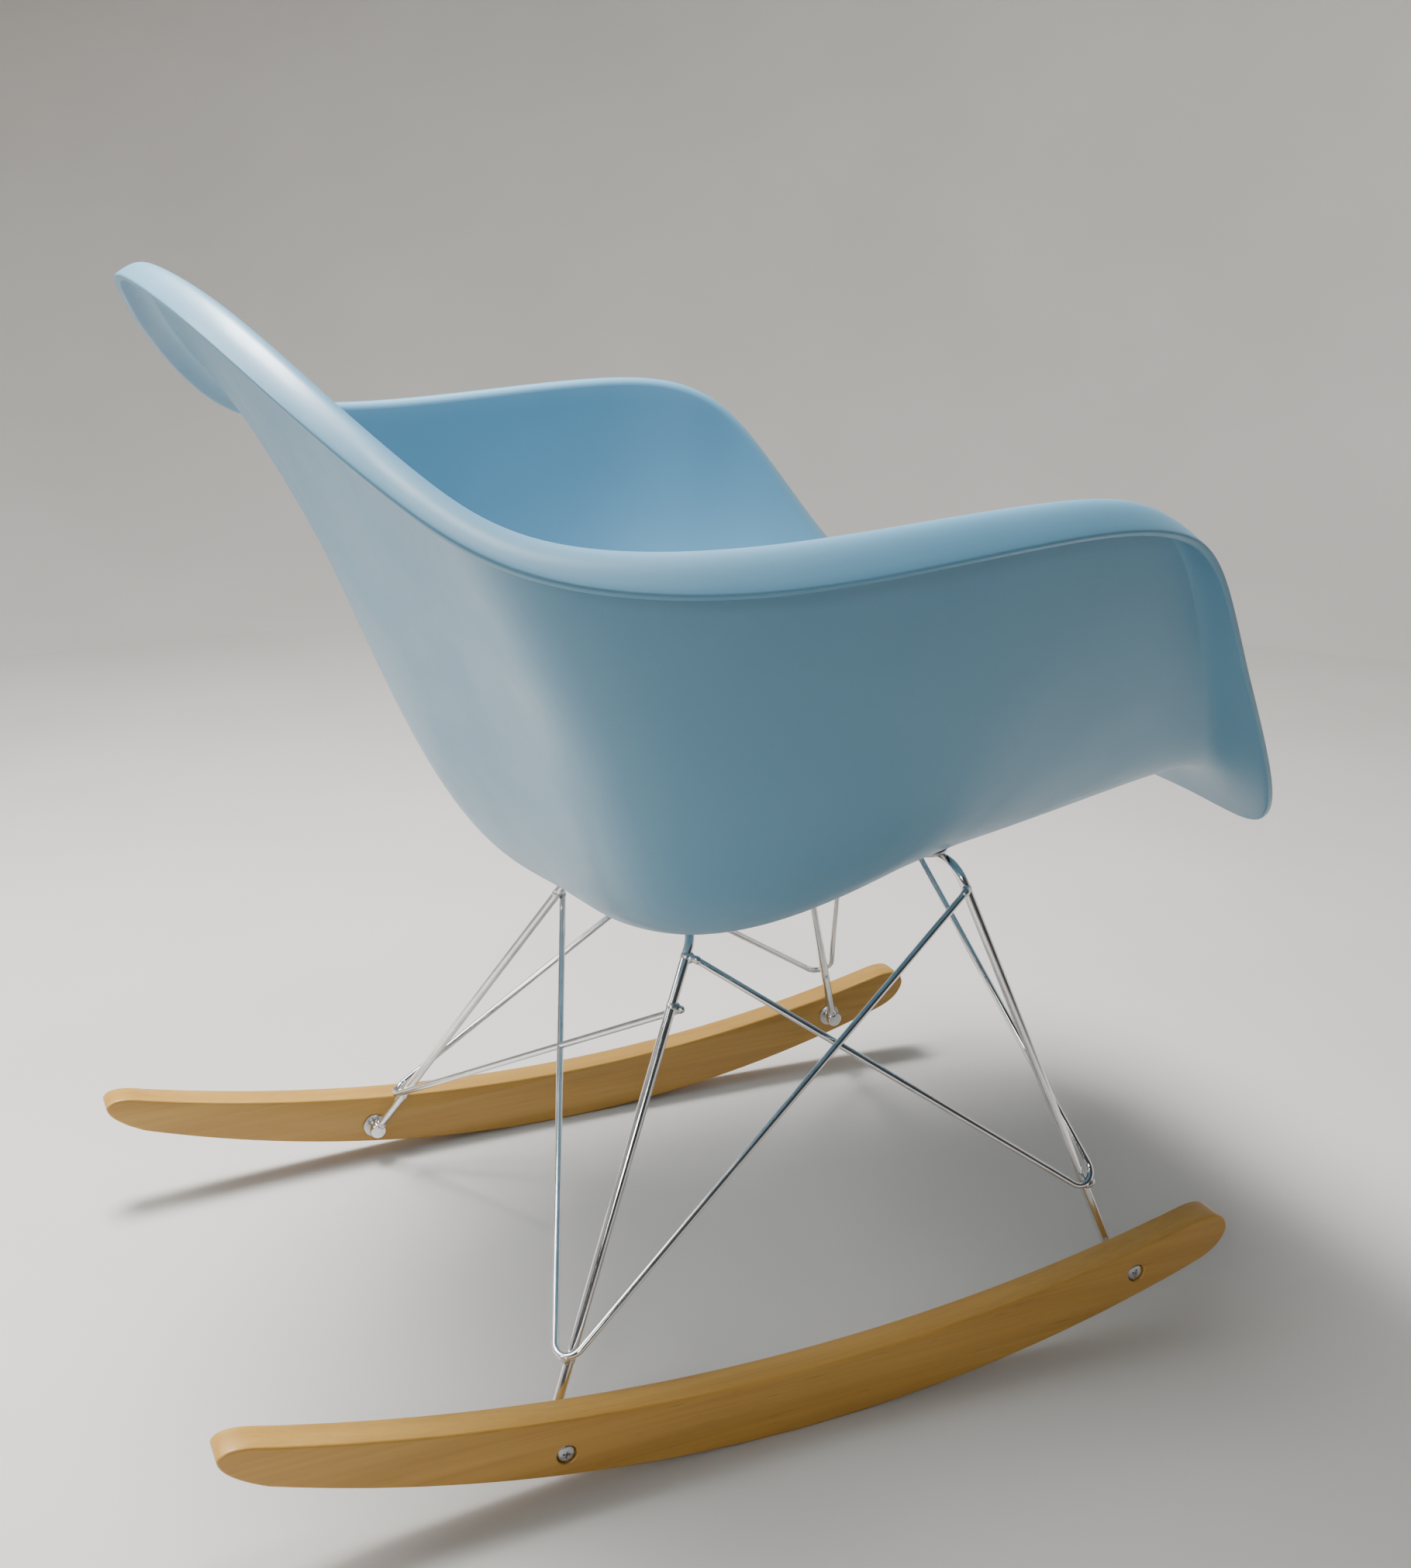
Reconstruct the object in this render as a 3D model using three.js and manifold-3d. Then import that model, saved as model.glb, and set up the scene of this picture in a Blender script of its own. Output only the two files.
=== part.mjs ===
// Rocking armchair: a one-piece moulded plastic armchair shell on four rubber
// shock mounts, carried by a welded base of chromed steel rod on two bent
// wooden rockers. Millimetres, +Z up, +X is the way the sitter faces. The X
// sizes below are measured from the middle of the four foot bolts.
import * as THREE from "three";
import { ParametricGeometry } from "three/addons/geometries/ParametricGeometry.js";
import { mergeVertices } from "three/addons/utils/BufferGeometryUtils.js";
import Module from "manifold-3d";

const wasm = await Module();
wasm.setup();

// Shell
const SHELL_WALL = 4.5;
const AROUND = 72; // facets round the rim
const UP_WALL = 11; // facets from the seat's middle to the crest of the rim
const OVER_RIM = 4; // facets over the rolled rim
const SEAT_LOW = [-70, 0, 277]; // lowest point of the sitting surface

// Steel rod base
const LEG_R = 3.1;
const WIRE_R = 2.2;
const LEG_BEND = 17;
const GAP = 0.3;
const WELD_GAP = 0.9; // a wire end is cut square, so its axis stands this much off
const LOOP_HEIGHTS = [57, 92]; // bottom of the rear and front brace loops
const LOOP_BEND = 10;
const CROSS_WELD = 228; // height where a brace meets the opposite rear leg
const UNDER_SEAT_WELD = 40; // |Y| where a brace meets the front cross-piece
const REAR_TOP = [-54, 85]; // X and |Y| of the rear leg's upper corner
const FRONT_TOP = [110, 119];

// Rockers
const ROCKER_IN = 201; // |Y| of the inner face
const ROCKER_OUT = 222;
const FLOOR_ARC = [-40, 913]; // X of the centre and radius of the lower edge
const TOP_ARC = [-44, 1251, 1211]; // X and Z of the centre and radius, upper edge
const REST_HALF = 20; // half of the level side of the lower edge
const FACET = 26; // each other side of the lower edge
const TOP_STEP = 44;
const ROCKER_REAR = -372;
const ROCKER_FRONT = 252;
const REAR_BOLT = [-190, 26]; // X and Z
const FRONT_BOLT = [190, 46];

// Fastenings
const BOLT_HEAD_R = 5.6;
const BOLT_HEAD_H = 3.2;
const BOLT_R = 3;
const WASHER_R = 8.5;
const WASHER_H = 1.4;
const FOOT_R = 5.6; // tapped foot at the lower end of a leg
const FOOT_LEN = 10;
const MOUNT_R = 15;
const MOUNT_H = 6;
const PLATE_R = 13.5;
const PLATE_H = 2.5;
const SCREW_R = 2.5;
const SCREW_HEAD_R = 4.6;
const SCREW_HEAD_H = 2.8;
const SCREW_REACH = 5; // into a boss of the shell
const BOSS_R = 13; // moulded bosses under the seat
const BOSS_SINK = 1.5; // below the sitting surface
const REAR_FACE = 279; // heights of the bosses' flat lower faces
const FRONT_FACE = 308;
const MOUNT_OFFSET = 8.4; // from a mount's screw to the leg rod under its plate

const v3 = (x, y, z) => new THREE.Vector3(x, y, z);

// ---- solids --------------------------------------------------------------

// A closed geometry as a manifold solid; faces that collapsed are dropped.
function toSolid(geometry) {
  const bare = new THREE.BufferGeometry();
  bare.setAttribute("position", geometry.getAttribute("position"));
  if (geometry.index) bare.setIndex(geometry.index);
  const merged = mergeVertices(bare, 1e-4);
  const all = merged.index.array;
  const kept = [];
  for (let i = 0; i < all.length; i += 3) {
    const [a, b, c] = [all[i], all[i + 1], all[i + 2]];
    if (a !== b && b !== c && a !== c) kept.push(a, b, c);
  }
  return new wasm.Manifold(
    new wasm.Mesh({
      numProp: 3,
      vertProperties: new Float32Array(merged.attributes.position.array),
      triVerts: new Uint32Array(kept),
    }),
  );
}

function toGeometry(solid) {
  const mesh = solid.getMesh();
  const geometry = new THREE.BufferGeometry();
  geometry.setAttribute("position", new THREE.BufferAttribute(mesh.vertProperties, 3));
  geometry.setIndex(new THREE.BufferAttribute(mesh.triVerts, 1));
  geometry.computeVertexNormals();
  return geometry;
}

// A turned solid about the Z axis from a closed list of [radius, z].
function turned(profile, sides) {
  const points = profile.map(([r, z]) => new THREE.Vector2(r, z));
  return new THREE.LatheGeometry(points, sides);
}

// ---- shell ---------------------------------------------------------------

// Stations of the shell's left half from the middle of the front edge round
// the arm to the middle of the back. crest: the inner crest of the rim;
// low and high: the two handles of the wall's curve from the seat's lowest
// point up to the crest; roll: how far the rolled rim goes on past the crest.
const STATIONS = [
  { crest: [240, 0, 350], low: [70, 0, 283], high: [170, 0, 349], roll: [46, 0, -30] },
  { crest: [238, 110, 353], low: [62, 45, 282], high: [168, 92, 350], roll: [46, 6, -31] },
  { crest: [227, 190, 368], low: [45, 78, 280], high: [165, 156, 348], roll: [41, 15, -35] },
  { crest: [202, 229, 405], low: [28, 100, 278], high: [164, 200, 349], roll: [29, 16, -14] },
  { crest: [174, 256, 455], low: [14, 124, 277], high: [150, 226, 352], roll: [17, 14, -5] },
  { crest: [141, 279, 511], low: [0, 148, 277], high: [120, 245, 348], roll: [11, 13, -4] },
  { crest: [106, 291, 540], low: [-16, 170, 277], high: [84, 253, 342], roll: [7, 14, -7] },
  { crest: [54, 300, 549], low: [-34, 192, 276], high: [38, 260, 336], roll: [1, 16, -10] },
  { crest: [-34, 305, 545], low: [-62, 210, 275], high: [-36, 266, 332], roll: [0, 18, -12] },
  { crest: [-130, 304, 540], low: [-100, 208, 274], high: [-112, 264, 345], roll: [-2, 18, -12] },
  { crest: [-214, 286, 548], low: [-140, 184, 272], high: [-150, 248, 384], roll: [-6, 15, -9] },
  { crest: [-260, 247, 577], low: [-166, 144, 268], high: [-162, 220, 432], roll: [-10, 12, -8] },
  { crest: [-292, 188, 613], low: [-190, 96, 265], high: [-172, 172, 484], roll: [-12, 8, -7] },
  { crest: [-316, 104, 643], low: [-207, 48, 263], high: [-194, 92, 512], roll: [-13, 3, -5] },
  { crest: [-328, 0, 655], low: [-215, 0, 262], high: [-204, 0, 520], roll: [-13, 0, -3] },
];

// The stations' values for one key as a smooth closed curve round the shell.
function ringCurve(key) {
  const left = STATIONS.map((s) => v3(...s[key]));
  const right = STATIONS.slice(1, -1)
    .reverse()
    .map((s) => v3(s[key][0], -s[key][1], s[key][2]));
  return new THREE.CatmullRomCurve3([...left, ...right], true, "catmullrom", 0.5);
}

const CREST = ringCurve("crest");
const LOW = ringCurve("low");
const HIGH = ringCurve("high");
const ROLL = ringCurve("roll");

// A point of the sitting surface: around in 0..1 round the rim, up in 0..1
// from the seat's lowest point to the crest, and 1..2 over the rolled rim.
function sittingPoint(around, up) {
  const crest = CREST.getPoint(around);
  const high = HIGH.getPoint(around);
  if (up <= 1) {
    const wall = new THREE.CubicBezierCurve3(
      v3(...SEAT_LOW), LOW.getPoint(around), high, crest,
    );
    return wall.getPoint(up);
  }
  const roll = ROLL.getPoint(around);
  const rise = crest.clone().sub(high).setLength(roll.length() * 0.55);
  const rim = new THREE.QuadraticBezierCurve3(crest, crest.clone().add(rise), crest.clone().add(roll));
  return rim.getPoint(up - 1);
}

// The outward normal of the sitting surface, towards the shell's underside.
function undersideNormal(around, up) {
  const step = 0.004;
  const u = THREE.MathUtils.clamp(up, step, 2 - step);
  const along = sittingPoint(around, u + step).sub(sittingPoint(around, u - step));
  const a0 = (around - step + 1) % 1;
  const a1 = (around + step) % 1;
  const round = sittingPoint(a1, u).sub(sittingPoint(a0, u));
  return along.cross(round).normalize();
}

// The sitting surface moved towards the underside by a depth.
function shellPoint(around, up, depth) {
  const p = sittingPoint(around, up);
  if (up === 0) return p.add(v3(0, 0, -depth));
  return p.add(undersideNormal(around, up).multiplyScalar(depth));
}

const RISES = [];
for (let i = 0; i <= UP_WALL; i += 1) RISES.push(i / UP_WALL);
for (let i = 1; i <= OVER_RIM; i += 1) RISES.push(1 + i / OVER_RIM);

// A closed surface of rings: each ring is [up, depth], and the first and the
// last ring are single points on the middle line.
function ringSolid(rings) {
  const last = rings.length - 1;
  const place = (around, t, target) => {
    const [up, depth] = rings[Math.round(t * last)];
    target.copy(shellPoint(around % 1, up, depth));
  };
  return toSolid(new ParametricGeometry(place, AROUND, last));
}

// The plastic shell, with the sitting surface on top and the underside below.
function shellWall() {
  const top = RISES.map((up) => [up, 0]);
  const under = RISES.map((up) => [up, SHELL_WALL]).reverse();
  const edge = [[2, SHELL_WALL / 2]];
  return ringSolid([...top, ...edge, ...under]);
}

// Everything above a surface a little under the sitting surface.
function spaceAboveSeat(depth) {
  const rings = RISES.filter((up) => up <= 0.85).map((up) => [up, depth]);
  const lid = 900;
  const last = rings.length;
  const place = (around, t, target) => {
    const i = Math.round(t * last);
    if (i === last) target.set(SEAT_LOW[0], 0, lid);
    else target.copy(shellPoint(around % 1, rings[i][0], depth));
  };
  return toSolid(new ParametricGeometry(place, AROUND, last));
}

// ---- mounts --------------------------------------------------------------

// Where a mount's screw stands: inboard of the leg rod that its plate rests on.
function mountSpots() {
  const rear = REAR_TOP[0] + MOUNT_OFFSET;
  const front = FRONT_TOP[0] - MOUNT_OFFSET;
  const rearY = REAR_TOP[1] - 26;
  const frontY = FRONT_TOP[1] - 26;
  return [
    { name: "rear_left", x: rear, y: rearY, face: REAR_FACE },
    { name: "rear_right", x: rear, y: -rearY, face: REAR_FACE },
    { name: "front_left", x: front, y: frontY, face: FRONT_FACE },
    { name: "front_right", x: front, y: -frontY, face: FRONT_FACE },
  ];
}

// Height of a leg rod's axis under a mount whose boss face is given.
function rodHeight(face) {
  return face - GAP - MOUNT_H - GAP - PLATE_H - GAP - LEG_R;
}

// A cylinder standing at a mount, from one height above its face to another.
function upright(radius, spot, from, to) {
  const profile = [[0, from], [radius, from], [radius, to], [0, to]];
  const geometry = turned(profile, 24).rotateX(Math.PI / 2);
  return toSolid(geometry.translate(spot.x, spot.y, spot.face));
}

function shell(material) {
  let solid = shellWall();
  const above = spaceAboveSeat(BOSS_SINK);
  for (const spot of mountSpots()) {
    solid = solid
      .add(upright(BOSS_R, spot, 0, 60).subtract(above))
      .subtract(upright(SCREW_R + 0.4, spot, -1, SCREW_REACH + 0.6));
  }
  const mesh = new THREE.Mesh(toGeometry(solid), material);
  mesh.name = "seat_shell";
  return mesh;
}

// ---- rods ----------------------------------------------------------------

// A path of straight runs and rounded corners with one ring of the rod at each
// of its key points, so a straight run costs two rings.
class RodPath extends THREE.Curve {
  constructor(points) {
    super();
    this.points = points;
  }

  getPoint(t, target = new THREE.Vector3()) {
    const last = this.points.length - 1;
    const i = Math.min(Math.floor(t * last + 1e-9), last - 1);
    return target.lerpVectors(this.points[i], this.points[i + 1], t * last - i);
  }

  getUtoTmapping(u) {
    return u;
  }
}

// Rounds the corners of a polyline; bend is the radius at every corner.
function roundedPath(corners, bend, steps) {
  const out = [corners[0]];
  for (let i = 1; i < corners.length - 1; i += 1) {
    const back = corners[i - 1].clone().sub(corners[i]).normalize();
    const on = corners[i + 1].clone().sub(corners[i]).normalize();
    const half = back.angleTo(on) / 2;
    const reach = bend / Math.tan(half);
    const middle = corners[i].clone().add(
      back.clone().add(on).setLength(bend / Math.sin(half)),
    );
    const from = corners[i].clone().addScaledVector(back, reach).sub(middle);
    const to = corners[i].clone().addScaledVector(on, reach).sub(middle);
    const sweep = from.angleTo(to);
    for (let k = 0; k <= steps; k += 1) {
      const a = (sweep * k) / steps;
      const p = from.clone().multiplyScalar(Math.sin(sweep - a) / Math.sin(sweep));
      out.push(p.addScaledVector(to, Math.sin(a) / Math.sin(sweep)).add(middle));
    }
  }
  out.push(corners[corners.length - 1]);
  return out;
}

function rod(name, points, radius, sides, material) {
  const section = new THREE.Shape();
  for (let i = 0; i < sides; i += 1) {
    const a = (2 * Math.PI * i) / sides;
    const [x, y] = [radius * Math.cos(a), radius * Math.sin(a)];
    if (i === 0) section.moveTo(x, y);
    else section.lineTo(x, y);
  }
  section.closePath();
  const geometry = new THREE.ExtrudeGeometry(section, {
    steps: points.length - 1,
    extrudePath: new RodPath(points),
  });
  const mesh = new THREE.Mesh(geometry, material);
  mesh.name = name;
  return mesh;
}

// The foot end of a leg, on its straight line down from the upper corner.
function legLine(top, height, bolt) {
  const corner = v3(top[0], top[1], height);
  const footY = ROCKER_IN - GAP - WASHER_H - GAP - FOOT_LEN / 2;
  const foot = v3(bolt[0], footY, bolt[1]);
  const rise = corner.clone().sub(foot).normalize();
  const lean = Math.sqrt(1 - rise.y * rise.y);
  return { corner, end: foot.addScaledVector(rise, (FOOT_R + GAP + LEG_R * Math.abs(rise.y)) / lean) };
}

const mirrored = (p) => v3(p.x, -p.y, p.z);

const REAR_LEG = legLine(REAR_TOP, rodHeight(REAR_FACE), REAR_BOLT);
const FRONT_LEG = legLine(FRONT_TOP, rodHeight(FRONT_FACE), FRONT_BOLT);

// One rod makes both legs of a pair and the cross-piece under the seat.
function legPair(name, leg, material) {
  const corners = [leg.end, leg.corner, mirrored(leg.corner), mirrored(leg.end)];
  return rod(name, roundedPath(corners, LEG_BEND, 5), LEG_R, 12, material);
}

// The point of a leg at a height.
function onLeg(leg, z) {
  const t = (z - leg.end.z) / (leg.corner.z - leg.end.z);
  return leg.end.clone().lerp(leg.corner, t);
}

// A point beside a leg at a height, at a welding distance towards a direction.
function besideLeg(leg, z, towards) {
  const axis = leg.corner.clone().sub(leg.end).normalize();
  const side = towards.clone().addScaledVector(axis, -towards.dot(axis));
  return onLeg(leg, z).add(side.setLength(LEG_R + WIRE_R + WELD_GAP));
}

// A brace of one wire: up to two ends from its loop, which lies against the
// outer side of a leg so that the leg passes up between the two arms.
function brace(name, leg, height, ends, side, material) {
  const start = onLeg(leg, height);
  const [toA, toB] = ends.map((end) => end.clone().sub(start));
  const outer = toA.cross(toB);
  if (outer.y < 0) outer.negate();
  const loop = besideLeg(leg, height, outer);
  const [a, b] = ends.map((end) => end.clone().sub(loop).normalize());
  const drop = LOOP_BEND * (1 / Math.sin(a.angleTo(b) / 2) - 1);
  const corner = loop.clone().add(a.add(b).setLength(-drop));
  const path = roundedPath([ends[0], corner, ends[1]], LOOP_BEND, 6);
  return rod(name, side > 0 ? path : path.map(mirrored), WIRE_R, 10, material);
}

// The two braces of one side. side is 1 on the left and -1 on the right; the
// ends are placed for the left side.
function sideBraces(side, material) {
  const label = side > 0 ? "left" : "right";
  // The two crossing wires pass each other: one ends ahead of the opposite
  // leg and the other behind it.
  const crossEnd = mirrored(besideLeg(REAR_LEG, CROSS_WELD, v3(side, 0.35, 0)));
  const frontEnd = besideLeg(FRONT_LEG, FRONT_LEG.corner.z - 14, v3(-0.6, 1, 0));
  const rearEnd = besideLeg(REAR_LEG, REAR_LEG.corner.z - 13, v3(0.9, 0.6, 0));
  const underEnd = FRONT_LEG.corner.clone().add(v3(LEG_R + WIRE_R + GAP, 0, 0));
  underEnd.y = UNDER_SEAT_WELD;
  const [rearHeight, frontHeight] = LOOP_HEIGHTS;
  return [
    brace("rear_brace_" + label, REAR_LEG, rearHeight, [crossEnd, frontEnd], side, material),
    brace("front_brace_" + label, FRONT_LEG, frontHeight, [rearEnd, underEnd], side, material),
  ];
}

// ---- rockers and fastenings ------------------------------------------------

function arcHeight(arc, x) {
  const [cx, cz, r] = arc;
  return cz - Math.sqrt(r * r - (x - cx) ** 2);
}

// The rocker's side outline. Its lower edge is a polygon on the floor arc with
// one longer level side under the chair's centre of mass.
function rockerOutline() {
  const [cx, r] = FLOOR_ARC;
  const rest = Math.asin(REST_HALF / r);
  const step = FACET / r;
  const corner = (a) => [cx + r * Math.sin(a), r * Math.cos(rest) - r * Math.cos(a)];
  const points = [];
  for (let a = rest; r * Math.sin(a) < ROCKER_FRONT - cx; a += step) points.push(corner(a));
  for (let a = rest; r * Math.sin(a) < cx - ROCKER_REAR; a += step) points.unshift(corner(-a));
  const topAt = (x) => arcHeight(TOP_ARC, x);
  const lowFront = points[points.length - 1];
  const lowRear = points[0];
  points.push([ROCKER_FRONT + 4, lowFront[1] + 5]);
  points.push([ROCKER_FRONT + 7, lowFront[1] + 13]);
  points.push([ROCKER_FRONT + 2, topAt(ROCKER_FRONT) - 5]);
  for (let x = ROCKER_FRONT - 9; x > ROCKER_REAR + 20; x -= TOP_STEP) points.push([x, topAt(x)]);
  points.push([ROCKER_REAR + 10, topAt(ROCKER_REAR + 10)]);
  points.push([ROCKER_REAR - 1, topAt(ROCKER_REAR) - 3]);
  points.push([ROCKER_REAR - 8, topAt(ROCKER_REAR) - 10]);
  points.push([ROCKER_REAR - 6, lowRear[1] + 6]);
  return points;
}

// A rocker lies between its two side faces, with drilled and sunk bolt holes.
function rocker(name, side, material) {
  const outline = new THREE.Shape(rockerOutline().map(([x, z]) => new THREE.Vector2(x, z)));
  const bevel = 1.5;
  const blank = new THREE.ExtrudeGeometry(outline, {
    depth: ROCKER_OUT - ROCKER_IN - 2 * bevel,
    bevelThickness: bevel,
    bevelSize: bevel,
    bevelOffset: -bevel,
    bevelSegments: 1,
  });
  blank.rotateX(Math.PI / 2);
  blank.translate(0, ROCKER_OUT - bevel, 0);
  let solid = toSolid(blank);
  for (const [x, z] of [REAR_BOLT, FRONT_BOLT]) {
    const hole = turned(
      [
        [0, -30], [BOLT_R + GAP, -30], [BOLT_R + GAP, -BOLT_HEAD_H - 0.6 - GAP],
        [BOLT_HEAD_R + GAP, -BOLT_HEAD_H - 0.6 - GAP], [BOLT_HEAD_R + GAP, 5], [0, 5],
      ],
      20,
    );
    hole.translate(x, ROCKER_OUT, z);
    solid = solid.subtract(toSolid(hole));
  }
  const geometry = toGeometry(solid);
  if (side < 0) geometry.scale(1, -1, 1);
  const mesh = new THREE.Mesh(side < 0 ? flipped(geometry) : geometry, material);
  mesh.name = name;
  return mesh;
}

// The same surface with every face turned round, after a mirroring.
function flipped(geometry) {
  const index = geometry.index.array;
  for (let i = 0; i < index.length; i += 3) {
    [index[i + 1], index[i + 2]] = [index[i + 2], index[i + 1]];
  }
  geometry.computeVertexNormals();
  return geometry;
}

// A turned piece lying along Y: its profile's height runs outwards from the
// chair's middle, from the given distance.
function onSide(name, profile, sides, spot, side, material) {
  const mesh = new THREE.Mesh(turned(profile, sides), material);
  mesh.name = name;
  mesh.position.set(spot[0], side * spot[2], spot[1]);
  mesh.rotation.x = side > 0 ? 0 : Math.PI;
  return mesh;
}

// Bolt, washer and tapped foot at one end of one rocker.
function footFastening(label, bolt, side, materials) {
  const outer = ROCKER_OUT - 0.6;
  const shank = ROCKER_OUT - ROCKER_IN + WASHER_H + 6;
  const washerAt = ROCKER_IN - GAP - WASHER_H;
  const footAt = washerAt - GAP - FOOT_LEN;
  const boltProfile = [
    [0, -shank], [BOLT_R, -shank], [BOLT_R, -BOLT_HEAD_H],
    [BOLT_HEAD_R, -BOLT_HEAD_H], [BOLT_HEAD_R, -0.8], [BOLT_HEAD_R - 1.6, 0],
    [1.6, 0], [1.6, -1.6], [0, -1.6],
  ];
  const ring = (inner, radius, height) => [
    [inner, 0], [radius, 0], [radius, height], [inner, height], [inner, 0],
  ];
  const footProfile = [
    [0, 0], [FOOT_R - 0.8, 0], [FOOT_R, 0.8], [FOOT_R, FOOT_LEN],
    [BOLT_R + GAP, FOOT_LEN], [BOLT_R + GAP, 2.4], [0, 2.4],
  ];
  return [
    onSide("bolt_" + label, boltProfile, 16, [...bolt, outer], side, materials.steel),
    onSide("washer_" + label, ring(BOLT_R + GAP, WASHER_R, WASHER_H), 20,
      [...bolt, washerAt], side, materials.steel),
    onSide("foot_" + label, footProfile, 16, [...bolt, footAt], side, materials.chrome),
  ];
}

// Rubber shock mount, steel plate and screw under one boss of the shell.
function seatMount(spot, materials) {
  const bore = SCREW_R + 0.4;
  const rubberAt = spot.face - GAP - MOUNT_H;
  const plateAt = rubberAt - GAP - PLATE_H;
  const rubber = [
    [bore, 0], [MOUNT_R - 1.4, 0], [MOUNT_R, 2], [MOUNT_R, MOUNT_H - 2],
    [MOUNT_R - 1.4, MOUNT_H], [bore, MOUNT_H], [bore, 0],
  ];
  const plate = [[bore, 0], [PLATE_R, 0], [PLATE_R, PLATE_H], [bore, PLATE_H], [bore, 0]];
  const screwTop = PLATE_H + MOUNT_H + 2 * GAP + SCREW_REACH;
  const screw = [
    [0, -GAP - SCREW_HEAD_H], [SCREW_HEAD_R - 1, -GAP - SCREW_HEAD_H],
    [SCREW_HEAD_R, -GAP - SCREW_HEAD_H + 1], [SCREW_HEAD_R, -GAP],
    [SCREW_R, -GAP], [SCREW_R, screwTop], [0, screwTop],
  ];
  return [
    ["shock_mount_", rubber, 20, rubberAt, materials.rubber],
    ["mount_plate_", plate, 20, plateAt, materials.steel],
    ["mount_screw_", screw, 12, plateAt, materials.steel],
  ].map(([name, profile, sides, z, material]) => {
    const mesh = new THREE.Mesh(turned(profile, sides).rotateX(Math.PI / 2), material);
    mesh.name = name + spot.name;
    mesh.position.set(spot.x, spot.y, z);
    return mesh;
  });
}

// ---- the chair -------------------------------------------------------------

const metal = (color, roughness) => new THREE.MeshStandardMaterial({ color, roughness, metalness: 1 });
const plain = (color, roughness) => new THREE.MeshStandardMaterial({ color, roughness, metalness: 0 });
const materials = {
  plastic: plain(0x7fb0cc, 0.45),
  chrome: metal(0xd8dadc, 0.12),
  steel: metal(0xb9bcbe, 0.3),
  rubber: plain(0x1c1c1c, 0.85),
  wood: plain(0xc79a4b, 0.5),
};

const assembly = new THREE.Group();
assembly.name = "assembly";
assembly.add(shell(materials.plastic));
for (const spot of mountSpots()) assembly.add(...seatMount(spot, materials));
assembly.add(legPair("rear_leg_rod", REAR_LEG, materials.chrome));
assembly.add(legPair("front_leg_rod", FRONT_LEG, materials.chrome));
for (const [side, label] of [[1, "left"], [-1, "right"]]) {
  assembly.add(...sideBraces(side, materials.chrome));
  assembly.add(rocker("rocker_" + label, side, materials.wood));
  assembly.add(...footFastening("rear_" + label, REAR_BOLT, side, materials));
  assembly.add(...footFastening("front_" + label, FRONT_BOLT, side, materials));
}

// The part's origin is on the floor under the middle of the whole chair.
const extent = new THREE.Box3().setFromObject(assembly, true);
assembly.position.x = -(extent.min.x + extent.max.x) / 2;

const chair = new THREE.Group();
chair.name = "rocking_chair";
chair.add(assembly);

export default chair;
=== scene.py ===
"""Looks of the rocking armchair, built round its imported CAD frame."""

import math

import bmesh
import bpy
import numpy as np
from mathutils import Matrix, Vector
from mathutils.bvhtree import BVHTree


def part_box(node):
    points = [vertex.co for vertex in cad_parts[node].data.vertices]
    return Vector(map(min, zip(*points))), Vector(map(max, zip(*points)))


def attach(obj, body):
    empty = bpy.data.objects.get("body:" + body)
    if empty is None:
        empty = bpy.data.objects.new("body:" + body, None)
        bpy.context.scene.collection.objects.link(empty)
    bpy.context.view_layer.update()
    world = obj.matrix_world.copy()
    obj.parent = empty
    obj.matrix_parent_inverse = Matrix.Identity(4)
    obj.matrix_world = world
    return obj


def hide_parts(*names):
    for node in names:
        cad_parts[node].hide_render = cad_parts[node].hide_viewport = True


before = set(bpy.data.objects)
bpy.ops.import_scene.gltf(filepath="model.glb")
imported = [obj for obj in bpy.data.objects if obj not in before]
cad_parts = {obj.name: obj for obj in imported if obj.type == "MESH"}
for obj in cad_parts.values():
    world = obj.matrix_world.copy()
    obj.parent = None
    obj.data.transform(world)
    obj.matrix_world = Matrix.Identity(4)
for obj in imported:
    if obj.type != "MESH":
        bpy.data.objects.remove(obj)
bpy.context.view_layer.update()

CORNERS = ("rear_left", "rear_right", "front_left", "front_right")


def centre_of(node):
    low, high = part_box(node)
    return (low + high) / 2


# X of the middle of the four foot bolts: sizes in millimetres are from there.
MIDDLE_X = sum(centre_of("bolt_" + corner).x for corner in CORNERS) / 4


def to_row(points):
    """Millimetres from the middle of the foot bolts to metres in the row frame."""
    return np.asarray(points, float) * 0.001 + np.array([MIDDLE_X, 0, 0])


def vec(x, y, z):
    return np.array([x, y, z], float)


def unit(v):
    return v / np.linalg.norm(v)


# ---- meshes -----------------------------------------------------------------


def new_object(name, vertices, faces):
    mesh = bpy.data.meshes.new(name)
    mesh.from_pydata([tuple(v) for v in vertices], [], [tuple(f) for f in faces])
    mesh.update()
    obj = bpy.data.objects.new(name, mesh)
    bpy.context.scene.collection.objects.link(obj)
    return obj


def soft_shading(obj, angle=35):
    mesh = obj.data
    mesh.polygons.foreach_set("use_smooth", [True] * len(mesh.polygons))
    mesh.set_sharp_from_angle(angle=math.radians(angle))


def apply_modifiers(obj):
    """The object's evaluated mesh becomes its own mesh."""
    graph = bpy.context.evaluated_depsgraph_get()
    graph.update()
    mesh = bpy.data.meshes.new_from_object(obj.evaluated_get(graph))
    obj.modifiers.clear()
    obj.data = mesh


def boolean(obj, tools, operation):
    for tool in tools:
        modifier = obj.modifiers.new("cut", "BOOLEAN")
        modifier.operation = operation
        modifier.solver = "EXACT"
        modifier.object = tool
    apply_modifiers(obj)
    for tool in tools:
        bpy.data.objects.remove(tool)


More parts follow.
